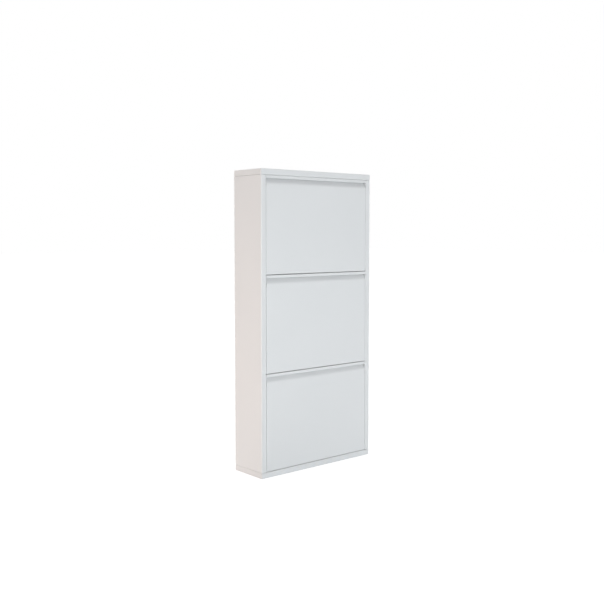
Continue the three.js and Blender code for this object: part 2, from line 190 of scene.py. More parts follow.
def fold_line(corners, bends, metal=SHEET, guard=GUARD):
    """The outer line of a folded sheet in its section plane, and its unit normals.

    The line walks through the corners with the metal on its right. Each bend is an arc tangent to both runs:
    it starts radius * tan(half the turn) before the corner, and its points are
    centre + radius * (the run's normal, turned by an angle that grows evenly up to the turn).
    A bend's radius is the outer one, so a line on the inside of a bend has the sheet's thickness less.
    """
    corners = np.asarray(corners, float)
    ways = np.diff(corners, axis=0)
    ways /= np.linalg.norm(ways, axis=1)[:, None]
    lefts = np.stack([-ways[:, 1], ways[:, 0]], axis=1)
    points, normals = [corners[0]], [lefts[0]]
    for place, outer, before, after, left in zip(corners[1:-1], bends, ways, ways[1:], lefts):
        turn = math.atan2(before[0] * after[1] - before[1] * after[0], before @ after)
        inside = turn > 0
        radius = (outer - metal if inside else outer) if abs(turn) > STRAIGHT else 0.0
        sign = -1.0 if inside else 1.0
        start = place - before * radius * math.tan(abs(turn) / 2)
        centre = start - sign * radius * left
        steps = max(1, round(QUARTER_STEPS * abs(turn) / (math.pi / 2)))
        swept = np.linspace(0, turn, steps + 1) if radius else np.zeros(1)
        arm = np.stack([left[0] * np.cos(swept) - left[1] * np.sin(swept),
                        left[0] * np.sin(swept) + left[1] * np.cos(swept)], axis=1)
        for point in run_points(points[-1], start, guard):
            points.append(point)
            normals.append(left)
        points.extend(centre + sign * radius * arm)
        normals.extend(arm)
    for point in run_points(points[-1], corners[-1], guard):
        points.append(point)
        normals.append(lefts[-1])
    return np.array(points + [corners[-1]]), np.array(normals + [lefts[-1]])


def closed_line(corners, bends):
    """A closed outline with rounded corners, and its unit normals, walked with the material on the right."""
    corners = np.asarray(corners, float)
    middle = (corners[0] + corners[-1]) / 2
    points, normals = fold_line([middle, *corners, middle], bends, metal=0, guard=0)
    return points[:-1], normals[:-1]


def circle_line(radius, centre):
    """A round hole's outline: centre + radius * (cos, sin), with normals that point into the hole."""
    angle = np.linspace(0, 2 * np.pi, ROUND_STEPS, endpoint=False)
    arm = np.stack([np.cos(angle), np.sin(angle)], axis=1)
    return np.asarray(centre) + radius * arm, -arm


def stations(start, end, *inner):
    """Places along a straight run from start to end, with guards, and any inner places between them."""
    return np.array([start, start + GUARD, *inner, end - GUARD, end])


def bend_angles(start, end):
    """Angles of a bend's rows, from start to end in degrees."""
    return np.radians(np.linspace(start, end, QUARTER_STEPS + 1))


def skin(patches, flats=()):
    """One mesh from grids of points. Each patch is (points, cells to keep or None, turned over or not).

    A cell's face looks along (step to the next column) x (step to the next row). Each flat is (points,
    triangles), and it is shaded flat. Points that meet are merged, which closes seams and poles.
    """
    points, faces, flat_faces, start = [], [], [], 0
    for grid, keep, over in patches:
        rows, columns = grid.shape[:2]
        number = start + np.arange(rows * columns).reshape(rows, columns)
        cells = np.stack([number[:-1, :-1], number[:-1, 1:], number[1:, 1:], number[1:, :-1]], axis=-1)
        cells = cells[keep] if keep is not None else cells.reshape(-1, 4)
        faces += (cells[:, ::-1] if over else cells).tolist()
        points.append(grid.reshape(-1, 3))
        start += rows * columns
    for corners, triangles in flats:
        flat_faces += (start + triangles).tolist()
        points.append(corners)
        start += len(corners)
    mesh = bpy.data.meshes.new("skin")
    mesh.from_pydata(np.concatenate(points), [], faces + flat_faces)
    mesh.polygons.foreach_set("use_smooth", np.arange(len(mesh.polygons)) < len(faces))
    work = bmesh.new()
    work.from_mesh(mesh)
    bmesh.ops.remove_doubles(work, verts=work.verts, dist=WELD)
    bmesh.ops.delete(work, geom=[v for v in work.verts if not v.link_faces], context="VERTS")
    work.to_mesh(mesh)
    work.free()
    return mesh


def add_piece(node, process, mesh):
    """Puts a finished mesh in a CAD node's place: its body, its material slot and that slot's finish."""
    name = node + "_" + process
    mesh.name = name
    mesh.materials.clear()
    mesh.materials.append(FINISHES[SLOT_OF[node]])
    piece = bpy.data.objects.new(name, mesh)
    bpy.context.scene.collection.objects.link(piece)
    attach(piece, BODY_OF[node])
    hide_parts(node)
    return piece


def add_sheet(node, patches):
    """A folded sheet: its outer skin, given its thickness inwards, with its cut edges rounded."""
    piece = add_piece(node, "folded", skin(patches))
    wall = piece.modifiers.new("wall", "SOLIDIFY")
    wall.thickness = SHEET
    wall.offset = -1
    wall.use_even_offset = True
    rim = piece.modifiers.new("rim", "BEVEL")
    rim.width = RIM
    rim.segments = 2
    rim.limit_method = "ANGLE"
    rim.angle_limit = math.radians(RIM_ANGLE)
    rim.use_clamp_overlap = False
    return piece


def add_plate(node, loops, thickness, basis):
    """A flat plate cut to an outline with holes. loops are (points, normals), the outline first.

    The rim is a quarter round, a flat and a quarter round: each ring is the loop moved in by
    RIM * (1 - cos) of an angle and up by RIM * sin of it. Both faces are filled between the loops.
    basis is the plate's corner, its two plane axes and the axis through its thickness, right-handed.
    """
    corner, *axes = (np.asarray(part, float) for part in basis)
    angle = np.radians([90, 45, 0])
    inset = np.concatenate([RIM * (1 - np.cos(angle)), RIM * (1 - np.cos(angle[::-1]))])
    rise = np.concatenate([RIM * (1 - np.sin(angle)), thickness - RIM * (1 - np.sin(angle[::-1]))])
    patches, flats = [], []
    for points, normals in loops:
        ring = points[None] - inset[:, None, None] * normals[None]
        grid = np.concatenate([ring, np.broadcast_to(rise[:, None, None], ring.shape[:2] + (1,))], axis=2)
        patches.append((np.concatenate([grid, grid[:, :1]], axis=1), None, True))
        flats.append(ring[0])
    triangles = np.array(tessellate_polygon([np.pad(loop, ((0, 0), (0, 1))).tolist() for loop in flats]))
    flat = np.pad(np.concatenate(flats), ((0, 0), (0, 1)))
    first, second, third = flat[triangles.T]
    upwards = np.cross(second - first, third - first)[:, 2] > 0
    triangles[upwards] = triangles[upwards][:, ::-1]
    mesh = skin(patches, [(flat, triangles), (flat + (0, 0, thickness), triangles[:, ::-1])])
    place = np.empty(len(mesh.vertices) * 3)
    mesh.vertices.foreach_get("co", place)
    place = corner + place.reshape(-1, 3) @ np.array(axes)
    mesh.vertices.foreach_set("co", place.ravel())
    mesh.update()
    return add_piece(node, "cut", mesh)


def turned_grid(line, centre, axis, swell=None):
    """A turned surface: centre + place along the axis + radius * (cos, sin) round it.

    line is [place along the axis, radius], walked with the material on its right. swell may give more radius
    for each point of the line and each angle.
    """
    axis = np.asarray(axis, float)
    first = np.array([0.0, 1.0, 0.0]) if abs(axis[1]) < 0.5 else np.array([0.0, 0.0, 1.0])
    second = np.cross(axis, first)
    angle = np.linspace(0, 2 * np.pi, ROUND_STEPS + 1)
    ring = np.cos(angle)[:, None] * first + np.sin(angle)[:, None] * second
    radius = line[:, 1:] + (swell(line, angle) if swell else 0)
    return np.asarray(centre) + line[:, 0, None, None] * axis + radius[:, :, None] * ring[None]


def add_turned(node, corners, bends, centre, axis, process="turned"):
    """A piece turned round an axis. corners are [place along the axis, radius], and bends round them."""
    line, _ = fold_line(corners, bends, metal=0, guard=GUARD / 2)
    return add_piece(node, process, skin([(turned_grid(line, centre, axis), None, False)]))


# Finishes


def new_finish(name, colour, roughness, metallic=0.0):
    """A material with one principled shader, set to a plain colour until its own nodes are linked."""
    material = bpy.data.materials.new(name)
    material.use_nodes = True
    material.diffuse_color = (*colour, 1)
    shader = material.node_tree.nodes["Principled BSDF"]
    shader.inputs["Base Color"].default_value = (*colour, 1)
    shader.inputs["Roughness"].default_value = roughness
    shader.inputs["Metallic"].default_value = metallic
    return material, shader


def add_node(material, kind, settings=(), inputs=(), **links):
    """A node of that kind. settings are its properties, inputs its fixed values, and links its wires in."""
    node = material.node_tree.nodes.new(kind)
    for key, value in dict(settings).items():
        setattr(node, key, value)
    for key, value in dict(inputs).items():
        node.inputs[key].default_value = value
    for key, socket in links.items():
        material.node_tree.links.new(socket, node.inputs[key.replace("_", " ")])
    return node


def grain(material, per_metre, detail=2.0, stretch=(1, 1, 1)):
    """Noise in object space, with that many patches to a metre, between 0 and 1."""
    place = add_node(material, "ShaderNodeTexCoord").outputs["Object"]
    if stretch != (1, 1, 1):
        mapping = add_node(material, "ShaderNodeMapping", inputs={"Scale": stretch}, Vector=place)
        place = mapping.outputs["Vector"]
    inputs = {"Scale": per_metre, "Detail": detail}
    noise = add_node(material, "ShaderNodeTexNoise", inputs=inputs, Vector=place)
    return noise.outputs["Fac"]


def spread(material, value, low, high):
    """Maps a noise that mostly lies between 0.3 and 0.7 to low and high."""
    inputs = {"From Min": 0.3, "From Max": 0.7, "To Min": low, "To Max": high}
    return add_node(material, "ShaderNodeMapRange", inputs=inputs, Value=value).outputs["Result"]


def blend_colours(material, factor, first, second):
    """A colour between two, by a factor. A colour is a triple or a socket."""
    mix = add_node(material, "ShaderNodeMix", {"data_type": "RGBA"})
    links = material.node_tree.links
    links.new(factor, mix.inputs[0])
    for slot, colour in ((6, first), (7, second)):
        if isinstance(colour, tuple):
            mix.inputs[slot].default_value = (*colour, 1)
        else:
            links.new(colour, mix.inputs[slot])
    return mix.outputs[2]


def bump(material, height, strength, distance, under=None):
    """A bump of that height in metres, on top of another bump if one is given."""
    inputs = {"Strength": strength, "Distance": distance}
    node = add_node(material, "ShaderNodeBump", inputs=inputs, Height=height)
    if under:
        material.node_tree.links.new(under, node.inputs["Normal"])
    return node.outputs["Normal"]


def powder_coat():
    """White satin powder coat: orange peel, a fine grain, and a painted highlight that lightens sharp convex
    folds.
    """
    material, shader = new_finish("white satin powder coat", (0.80, 0.802, 0.804), 0.42)
    links = material.node_tree.links
    cloud = spread(material, grain(material, 5), 0, 1)
    colour = blend_colours(material, cloud, (0.792, 0.795, 0.798), (0.806, 0.808, 0.810))
    speck = spread(material, grain(material, 1400), 0, 0.35)
    colour = blend_colours(material, speck, colour, (0.768, 0.772, 0.777))
    # Painted highlight: convex folds, found by their pointiness, are blended toward a paler white, as if they
    # catch the light.
    edge = add_node(material, "ShaderNodeNewGeometry").outputs["Pointiness"]
    inputs = {"From Min": 0.53, "From Max": 0.62, "To Min": 0.0, "To Max": 0.5}
    painted_edge_highlight = add_node(material, "ShaderNodeMapRange", inputs=inputs, Value=edge)
    colour = blend_colours(material, painted_edge_highlight.outputs["Result"], colour, (0.85, 0.85, 0.848))
    links.new(colour, shader.inputs["Base Color"])
    links.new(spread(material, grain(material, 30, 4), 0.385, 0.455), shader.inputs["Roughness"])
    peel = bump(material, grain(material, 650, 1), 0.5, 0.02 * MM)
    links.new(bump(material, grain(material, 2600, 1), 0.4, 0.008 * MM, peel), shader.inputs["Normal"])
    return material


def zinc_plate():
    """Zinc plated steel: bluish and straw tints in the passivation, and fine marks along the bar."""
    material, shader = new_finish("zinc plated steel", (0.62, 0.63, 0.65), 0.34, 1.0)
    links = material.node_tree.links
    tint = spread(material, grain(material, 90, 3), 0, 1)
    colour = blend_colours(material, tint, (0.58, 0.60, 0.645), (0.66, 0.65, 0.62))
    dull = spread(material, grain(material, 700, 3), 0, 0.5)
    links.new(blend_colours(material, dull, colour, (0.50, 0.51, 0.53)), shader.inputs["Base Color"])
    marks = grain(material, 900, 2, (0.06, 1, 1))
    links.new(spread(material, marks, 0.27, 0.44), shader.inputs["Roughness"])
    links.new(bump(material, marks, 0.3, 0.01 * MM), shader.inputs["Normal"])
    return material


def moulded(name, colour, second, roughness, grit, depth):
    """A moulded plastic or rubber: a spark-eroded grain, with the same grain in its tone and gloss."""
    material, shader = new_finish(name, colour, roughness)
    links = material.node_tree.links
    texture = grain(material, grit, 3)
    cloud = spread(material, grain(material, 120, 2), 0, 0.6)
    base = blend_colours(material, spread(material, texture, 0, 0.5), colour, second)
    links.new(blend_colours(material, cloud, base, second), shader.inputs["Base Color"])
    links.new(spread(material, texture, roughness - 0.07, roughness + 0.07), shader.inputs["Roughness"])
    links.new(bump(material, texture, 0.6, depth), shader.inputs["Normal"])
    return material


def natural_nylon():
    """Natural nylon: milky, so a little light passes under its surface."""
    material = moulded("natural nylon", (0.80, 0.795, 0.76), (0.75, 0.74, 0.70), 0.45, 1500, 0.01 * MM)
    shader = material.node_tree.nodes["Principled BSDF"]
    shader.inputs["Subsurface Weight"].default_value = 0.2
    shader.inputs["Subsurface Scale"].default_value = 0.8 * MM
    return material


def black_plastic():
    """The glides' black plastic, a little greyer where its grain is rubbed."""
    first, second = (0.035, 0.035, 0.037), (0.06, 0.06, 0.062)
    return moulded("black moulded plastic", first, second, 0.55, 1100, 0.03 * MM)


def grey_rubber():
    """The buffers' soft grey rubber."""
    return moulded("grey rubber", (0.32, 0.325, 0.33), (0.27, 0.275, 0.28), 0.78, 900, 0.02 * MM)


FINISHES = {
    "painted_steel": powder_coat(),
    "zinc_steel": zinc_plate(),
    "nylon": natural_nylon(),
    "glide_plastic": black_plastic(),
    "buffer_rubber": grey_rubber(),
}


# Carcass


def side_panel(node, hand):
    """A side panel, folded from one sheet: skin, stile with its return, rear flange, end flanges and tabs.

    Columns walk the section from rear flange to tab, and rows climb from the lower flange to the upper.
    A point is the section's bend centre, moved by BEND along normalise(nx * cos b, ny, sin b), where (nx, ny)
    is the section's normal and b the row's own bend; a flange's rows then move inwards by their reach.
    """
    low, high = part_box(node)
    side, front, rear = max(abs(low.x), abs(high.x)), low.y, high.y
    tab_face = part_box("lower_buffer_left")[0].y + PAD + HOLE_CLEARANCE
    returned = side - FRAME
    section, normal = fold_line([
        (side - REAR_FLANGE, rear),
        (side - END_FLANGE, rear),
        (side, rear),
        (side, front),
        (side - END_FLANGE, front),
        (returned, front),
        (returned, tab_face),
        (returned - TAB_REACH, tab_face),
    ], [0, BEND, BEND, 0, BEND, BEND])
    tabs = np.array([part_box(name + "_door_front")[1].z - TAB_BELOW_TOP for name in DOOR_NAMES])
    tabs = np.stack([tabs - TAB_HEIGHT, np.minimum(tabs, high.z - BEND - RELIEF)], axis=1)
    reach = stations(0, END_FLANGE - BEND)
    tab_rows = np.concatenate([tabs - (RELIEF, 0), tabs + (0, RELIEF)]).ravel()
    height = np.unique(np.round(stations(low.z + BEND, high.z - BEND, *tab_rows), 7))
    lower, upper, straight = bend_angles(-90, 0)[1:-1], bend_angles(0, 90)[1:-1], np.pi / 2
    flange = np.full(reach.size, straight)
    turn = np.concatenate([-flange, lower, 0 * height, upper, flange])
    ends = np.full(reach.size + lower.size, height[0]), np.full(reach.size + upper.size, height[-1])
    level = np.concatenate([ends[0], height, ends[1]])
    inward = np.concatenate([reach[::-1], 0 * lower, 0 * height, 0 * upper, reach])

    centre = section - BEND * normal
    way = np.stack(np.broadcast_arrays(normal[None, :, 0] * np.cos(turn)[:, None],
                                       normal[None, :, 1], np.sin(turn)[:, None]), axis=2)
    way = way / np.maximum(np.linalg.norm(way, axis=2, keepdims=True), SAME_WAY)
    grid = np.empty_like(way)
    grid[..., 0] = centre[None, :, 0] - inward[:, None]
    grid[..., 1] = centre[None, :, 1]
    grid[..., 2] = level[:, None]
    grid += BEND * way

    # Above and below a tab the return ends short of the bend into the tab, which starts at the point fold.
    in_tab = np.zeros(level.size, bool)
    for foot, top in tabs:
        in_tab |= (turn == 0) & (level > foot - WELD) & (level < top + WELD)
    fold = np.flatnonzero(normal[:, 0] <= SAME_WAY - 1)[-1]
    plain = np.ix_(~in_tab, np.arange(fold + 1, len(section)))
    edge = np.broadcast_arrays(returned, front + RETURN_DEPTH, level[~in_tab][:, None])
    grid[plain] = np.stack(edge, axis=-1)

    step = np.arange(len(section) - 1)
    flat_row = (turn[:-1] == 0) & (turn[1:] == 0)
    flange_row = (np.abs(turn[:-1]) == straight) & (np.abs(turn[1:]) == straight)
    edge_row = ~flat_row & ~flange_row
    skin_or_bend = (normal[:-1, 0] > SAME_WAY) | (normal[1:, 0] > SAME_WAY)
    stile = section[:-1, 0] > returned + BEND + WELD
    keep = flat_row[:, None] | (flange_row[:, None] & skin_or_bend) | (edge_row[:, None] & stile)
    both_tab, one_tab = in_tab[:-1] & in_tab[1:], in_tab[:-1] ^ in_tab[1:]
    keep &= ~((step[None] > fold) & ~both_tab[:, None]) & ~((step[None] == fold) & one_tab[:, None])
    grid[..., 0] *= hand
    return add_sheet(node, [(grid, keep, hand > 0)])


def ring_stations(half_x, half_y):
    """Stations once round a rounded rectangle, clockwise from above: each one's centre and its way out.

    A corner's stations share the corner's centre, and their ways sweep a quarter turn.
    """
    inner = np.array([half_x - BEND, half_y - BEND])
    centres, ways = [], []
    for corner_x, corner_y, start in ((1, 1, 90), (1, -1, 0), (-1, -1, -90), (-1, 1, -180)):
        sweep = bend_angles(start, start - 90)
        way = np.stack([np.cos(sweep), np.sin(sweep)], axis=1)
        corner = inner * (corner_x, corner_y)
        tangent = np.array([[way[0, 1], -way[0, 0]], [-way[-1, 1], way[-1, 0]]]) * GUARD
        centres += [corner - tangent[:1], np.repeat(corner[None], len(way), axis=0), corner - tangent[1:]]
        ways += [way[:1], way, way[-1:]]
    centres, ways = np.concatenate(centres), np.concatenate(ways)
    return np.concatenate([centres, centres[:1]]), np.concatenate([ways, ways[:1]])


def ring_grid(centre, half_x, half_y, line):
    """Rings round a rectangle, one for each [-inset, height] of the line.

    Inside a bend's radius a ring is its corner centres plus (BEND - inset) along their ways. Further in, the
    centres themselves move in, so the corners become mitres.
    """
    centres, ways = ring_stations(half_x, half_y)
    inset = -line[:, 0]
    limit = np.stack([half_x - np.maximum(inset, BEND), half_y - np.maximum(inset, BEND)], axis=1)[:, None]
    flat = np.clip(centres[None], -limit, limit) + np.maximum(BEND - inset, 0)[:, None, None] * ways[None]
    rise = np.broadcast_to(line[:, 1][:, None, None], flat.shape[:2] + (1,))
    return np.concatenate([flat + np.array([centre.x, centre.y]), rise], axis=2)


def plate_grid(centre, half_x, half_y, height):
    """The flat middle that the innermost ring closes on."""
    across = stations(BEND - half_x, half_x - BEND) + centre.x
    along = stations(BEND - half_y, half_y - BEND) + centre.y
    x, y = np.meshgrid(across, along)
    return np.stack([x, y, np.full_like(x, height)], axis=2)


def tray(node, foot, lip):
    """A tray folded down from a flat plate, welded at its corners, with an inward lip or a plain foot."""
    low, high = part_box(node)
    middle = Vector(((low.x + high.x) / 2, (low.y + high.y) / 2, 0))
    half_x, half_y = (high.x - low.x) / 2, (high.y - low.y) / 2
    corners = [(-BEND, high.z), (0, high.z), (0, foot)]
    bends = [BEND]
    if lip:
        corners.append((-lip, foot))
        bends.append(BEND)
    line, _ = fold_line(corners, bends)
    rings = ring_grid(middle, half_x, half_y, line)
    plate = plate_grid(middle, half_x, half_y, high.z)
    return add_sheet(node, [(rings, None, False), (plate, None, False)])


def glide(node):
    """A moulded corner foot: a square block with a bevelled sole and a shallow groove below its top."""
    low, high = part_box(node)
    middle = Vector(((low.x + high.x) / 2, (low.y + high.y) / 2, 0))
    half_x, half_y = (high.x - low.x) / 2, (high.y - low.y) / 2
    neck = low.z + GLIDE_NECK * (high.z - low.z)
    soft, top_bevel = 0.25 * MM, 0.4 * MM
    corners = [
        (-BEND, high.z),
        (-top_bevel, high.z),
        (0, high.z - top_bevel),
        (0, neck + GLIDE_GROOVE),
        (-GLIDE_GROOVE, neck),
        (0, neck - GLIDE_GROOVE),
        (0, low.z + SOLE_BEVEL),
        (-SOLE_BEVEL, low.z),
        (-BEND, low.z),
    ]
    line, _ = fold_line(corners, [soft] * 7, metal=0, guard=0.1 * MM)
    return add_piece(node, "moulded", skin([
        (ring_grid(middle, half_x, half_y, line), None, False),
        (plate_grid(middle, half_x, half_y, high.z), None, False),
        (plate_grid(middle, half_x, half_y, low.z), None, True),
    ]))


def back_panel(node):
    """The back panel: one flat sheet with two wall-fixing holes in line with the wall plates."""
    low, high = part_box(node)
    foot, top = low.z - TRAY_SEAM, high.z + TRAY_SEAM
    outline = closed_line([(low.x, foot), (low.x, top), (high.x, top), (high.x, foot)], [PANEL_CORNER] * 4)
    holes = []
    for hand_name in ("left", "right"):
        plate_low, plate_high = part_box("wall_plate_" + hand_name)
        place = (plate_low + plate_high) / 2
        holes.append(circle_line(WALL_HOLE, (place.x, place.z)))
    return add_plate(node, [outline, *holes], SHEET, ((0, high.y, 0), (1, 0, 0), (0, 0, 1), (0, -1, 0)))


def wall_plate(node):
    """A zinc plated washer plate on the back panel's inside, with rounded corners and one hole."""
    low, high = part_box(node)
    place = (low + high) / 2
    corners = [(low.x, low.z), (low.x, high.z), (high.x, high.z), (high.x, low.z)]
    outline = closed_line(corners, [PLATE_CORNER] * 4)
    hole = circle_line(WALL_HOLE, (place.x, place.z))
    basis = ((0, high.y, 0), (1, 0, 0), (0, 0, 1), (0, -1, 0))
    return add_plate(node, [outline, hole], high.y - low.y, basis)


def screw(node, upwards):
    """A pan-head screw with a cross recess and a thread.

    The shank's radius falls by THREAD_DEPTH * |2 * fraction(place / THREAD_PITCH - angle / a full turn) - 1|.
    The head's top sinks by CROSS_DEPTH in two crossed slots, where the smaller of |x| and |y| is under
    CROSS_HALF_WIDTH and the larger is under CROSS_REACH.
    """
    low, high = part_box(node)
    radius, length = (high.x - low.x) / 2, high.z - low.z
    middle = (low + high) / 2
    sign = 1 if upwards else -1
    seat = Vector((middle.x, middle.y, low.z if upwards else high.z))
    shank = length - SCREW_HEAD

    def thread(line, angle):
        place, size = line[:, :1], line[:, 1:]
        wave = np.abs(((place / THREAD_PITCH - angle[None] / (2 * np.pi)) % 1) * 2 - 1)
        on_shank = (size > 0.9 * SCREW_RADIUS) & (place < shank - WELD)
        return np.where(on_shank, -THREAD_DEPTH * wave, 0)

    point = [(0, 0), (0, SCREW_POINT_RADIUS), (SCREW_POINT, SCREW_RADIUS)]
    rows = np.linspace(SCREW_POINT, shank, THREAD_ROWS)[1:]
    line = np.array(point + [(row, SCREW_RADIUS) for row in rows])
    corners = [(shank, SCREW_RADIUS), (shank, radius), (length, radius * SCREW_HEAD_TAPER), (length, 0)]
    head, _ = fold_line(corners, [0.2 * MM, 0.9 * MM], metal=0, guard=0)
    rings = np.linspace(head[-2, 1], 0, HEAD_RINGS)[1:]
    head = np.concatenate([head[:-1], np.stack([np.full_like(rings, length), rings], axis=1)])
    grid = turned_grid(np.concatenate([line, head]), seat, (0, 0, sign), thread)
    x, y = np.abs(grid[..., 0] - seat.x), np.abs(grid[..., 1] - seat.y)
    cross = np.clip((CROSS_HALF_WIDTH - np.minimum(x, y)) / CROSS_WALL, 0, 1)
    cross *= np.clip((CROSS_REACH - np.maximum(x, y)) / CROSS_RAMP, 0, 1)
    top = np.abs(grid[..., 2] - seat.z) > length - HEAD_CROWN
    grid[..., 2] -= sign * np.where(top, CROSS_DEPTH * cross, 0)
    return add_piece(node, "turned", skin([(grid, None, False)]))


def bush(node, hand):
    """A moulded bush: a collar between door and return, a sleeve, and a snap bead behind the return."""
    low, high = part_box(node)
    place = (low + high) / 2
    start = low.x if hand > 0 else high.x
    hole = (high.z - low.z) / 2 - COLLAR_WALL
    outer = hole + BUSH_WALL
    length = high.x - low.x
    corners = [
        (length / 2, hole),
        (0, hole),
        (0, hole + COLLAR_WALL),
        (COLLAR, hole + COLLAR_WALL),
        (COLLAR, outer),
        (BUSH_BEAD, outer),
        (BUSH_BEAD, outer + BUSH_WALL),
        (length, outer),
        (length, hole),
        (length / 2, hole),
    ]
    bends = [SOFT, 2 * SOFT, 2 * SOFT, SOFT, SOFT, SOFT, SOFT, SOFT]
    return add_turned(node, corners, bends, (start, place.y, place.z), (hand, 0, 0), "moulded")


def buffer(node):
    """A rubber buffer: a domed pad in front of the tab, a stem through it and a bulb behind."""
    low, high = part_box(node)
    place = (low + high) / 2
    radius = (high.z - low.z) / 2
    length = high.y - low.y
    corners = [
        (0, 0),
        (0, radius),
        (PAD, radius),
        (PAD, STEM_RADIUS),
        (PAD + STEM, STEM_RADIUS),
        (PAD + STEM, STEM_RADIUS + SHEET),
        (length, STEM_RADIUS / 2),
        (length, 0),
    ]
    bends = [0.9 * MM, 0.3 * MM, 0.1 * MM, 0.1 * MM, 0.3 * MM, 0.4 * MM]
    return add_turned(node, corners, bends, (place.x, low.y, place.z), (0, 1, 0), "moulded")


# Bins


def door_front(node):
    """A door front, folded from one sheet: bottom return, face, finger groove and lip, with two side returns.

    Rows walk the section from the bottom return to the lip, and columns cross the door. Below the groove a
    point is the section's bend centre, moved by BEND along normalise(sin a, ny * cos a, nz), where (ny, nz)
    is the section's normal and a the column's own bend; a side return's columns then move back by their
    reach. From the groove up, the sheet runs straight across to its cut ends.
    """
    low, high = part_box(node)
    half, front, foot, top = high.x, low.y, low.z, high.z
    groove_back = high.y - SHEET
    groove_foot = top - LIP - GRIP_OPENING
    fold_end = groove_foot - GRIP_BEND / 2
    section, normal = fold_line([
        (front + DOOR_RETURN, foot),
        (front, foot),
        (front, fold_end),
        (front, fold_end + RELIEF),
        (front, groove_foot),
        (groove_back, top - LIP),
        (groove_back, top - SHEET),
        (front + SHEET, top - SHEET),
        (front + SHEET, top - LIP),
    ], [BEND, 0, 0, GRIP_BEND, GRIP_FOOT_BEND, GRIP_TOP_BEND, BEND])
    reach = stations(0, DOOR_RETURN - BEND)
    face = stations(BEND - half, half - BEND)
    left, right, straight = bend_angles(-90, 0)[:-1], bend_angles(0, 90)[1:], np.pi / 2
    side_return = np.full(reach.size - 1, straight)
    turn = np.concatenate([-side_return, left, 0 * face, right, side_return])
    sides = np.full(left.size + reach.size - 1, face[0]), np.full(right.size + reach.size - 1, face[-1])
    middle = np.concatenate([sides[0], face, sides[1]])
    back = np.concatenate([reach[:0:-1], 0 * left, 0 * face, 0 * right, reach[1:]])

    centre = section - BEND * normal
    way = np.stack(np.broadcast_arrays(np.sin(turn)[None], normal[:, :1] * np.cos(turn)[None],
                                       normal[:, 1:]), axis=2)
    way = way / np.maximum(np.linalg.norm(way, axis=2, keepdims=True), SAME_WAY)
    grid = np.empty_like(way)
    grid[..., 0] = middle[None]
    grid[..., 1] = centre[:, :1] + back[None]
    grid[..., 2] = centre[:, 1:]
    grid += BEND * way

    above = np.arange(len(section)) > np.argmin(np.linalg.norm(section - (front, fold_end), axis=1))
    flat = middle + BEND * turn / straight
    straight_across = np.broadcast_arrays(flat[None], section[above, :1], section[above, 1:])
    grid[above] = np.stack(straight_across, axis=2)

    bend_cell = (turn[:-1] != turn[1:])[None]
    return_cell = ((turn[:-1] == turn[1:]) & (np.abs(turn[:-1]) == straight))[None]
    faces_down = normal[:, 1] < SAME_WAY - 1
    under_row = (faces_down[:-1] & faces_down[1:] & ~above[1:])[:, None]
    relief_row = (above[1:] & ~above[:-1])[:, None]
    keep = ~(return_cell & under_row) & ~(return_cell & above[1:, None]) & ~(bend_cell & relief_row)
    return add_sheet(node, [(grid, keep, False)])


def shoe_tray(node):
    """The shoe tray, folded from one sheet: hem, leaning rear wall, floor and front flange."""
    low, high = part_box(node)
    floor_back = high.y - TRAY_HEM - TRAY_LEAN
    section, _ = fold_line([
        (high.y, high.z - SHEET),
        (high.y - TRAY_HEM, high.z - SHEET),
        (floor_back, low.z),
        (low.y, low.z),
        (low.y, low.z + TRAY_FRONT),
    ], [BEND, BEND, BEND])
    across = stations(low.x, high.x)
    grid = np.stack(np.broadcast_arrays(across[None], section[:, :1], section[:, 1:]), axis=2)
    return add_sheet(node, [(grid, None, False)])


def cheek(node, hand_name):
    """A cheek: one flat sheet cut to the bin's side, with holes for the pivot, the stop stud and the rod."""
    low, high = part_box(node)
    name = node.split("_")[0]
    tray_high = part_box(name + "_shoe_tray")[1]
    middles = [sum(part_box(name + part), Vector()) / 2
               for part in ("_pivot_pin_" + hand_name, "_stop_stud_" + hand_name, "_rod")]
    rod = middles[2]
    rod_low, rod_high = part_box(name + "_rod")
    rod_radius = (rod_high.z - rod_low.z) / 2
    wall = tray_high.y - TRAY_HEM
    outline = closed_line([
        (low.y, low.z),
        (low.y, high.z),
        (low.y + DOOR_RETURN, high.z),
        (rod.y + 4 * rod_radius, rod.z + 6 * rod_radius),
        (wall + CHEEK_MARGIN, tray_high.z - SHEET),
        (wall - TRAY_LEAN + CHEEK_MARGIN, low.z),
    ], [1 * MM, 1 * MM, 30 * MM, 14 * MM, 30 * MM, 4 * MM])
    radii = (PIN_RADIUS, PIN_RADIUS, rod_radius)
    holes = [circle_line(radius + HOLE_CLEARANCE, (m.y, m.z)) for radius, m in zip(radii, middles)]
    basis = ((low.x, 0, 0), (0, 1, 0), (0, 0, 1), (1, 0, 0))
    return add_plate(node, [outline, *holes], SHEET, basis)


def rod(node):
    """The rod across a bin, with rounded ends."""
    low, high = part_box(node)
    place = (low + high) / 2
    radius, length = (high.z - low.z) / 2, high.x - low.x
    corners = [(0, 0), (0, radius), (length, radius), (length, 0)]
    return add_turned(node, corners, [ROD_ROUNDING] * 2, (low.x, place.y, place.z), (1, 0, 0))


def headed_pin(node, hand, steps, bends):
    """A headed pin or stud: its head lies inside the cheek, and its shank runs out through it."""
    low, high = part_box(node)
    place = (low + high) / 2
    start = low.x if hand > 0 else high.x
    corners = [(0, 0), (0, HEAD_RADIUS), (HEAD_HEIGHT, HEAD_RADIUS)] + steps(high.x - low.x)
    bends = [HEAD_EDGE, SOFT] + bends
    return add_turned(node, corners, bends, (start, place.y, place.z), (hand, 0, 0))


def pivot_pin(node, hand):
    """A pivot pin: a low head, a plain shank and a tapered nose."""
    return headed_pin(node, hand, lambda length: [
        (HEAD_HEIGHT, PIN_RADIUS),
        (length - NOSE, PIN_RADIUS),
        (length, PIN_RADIUS - NOSE_TAPER),
        (length, 0),
    ], [0.2 * MM, 0.4 * MM, 0.3 * MM])


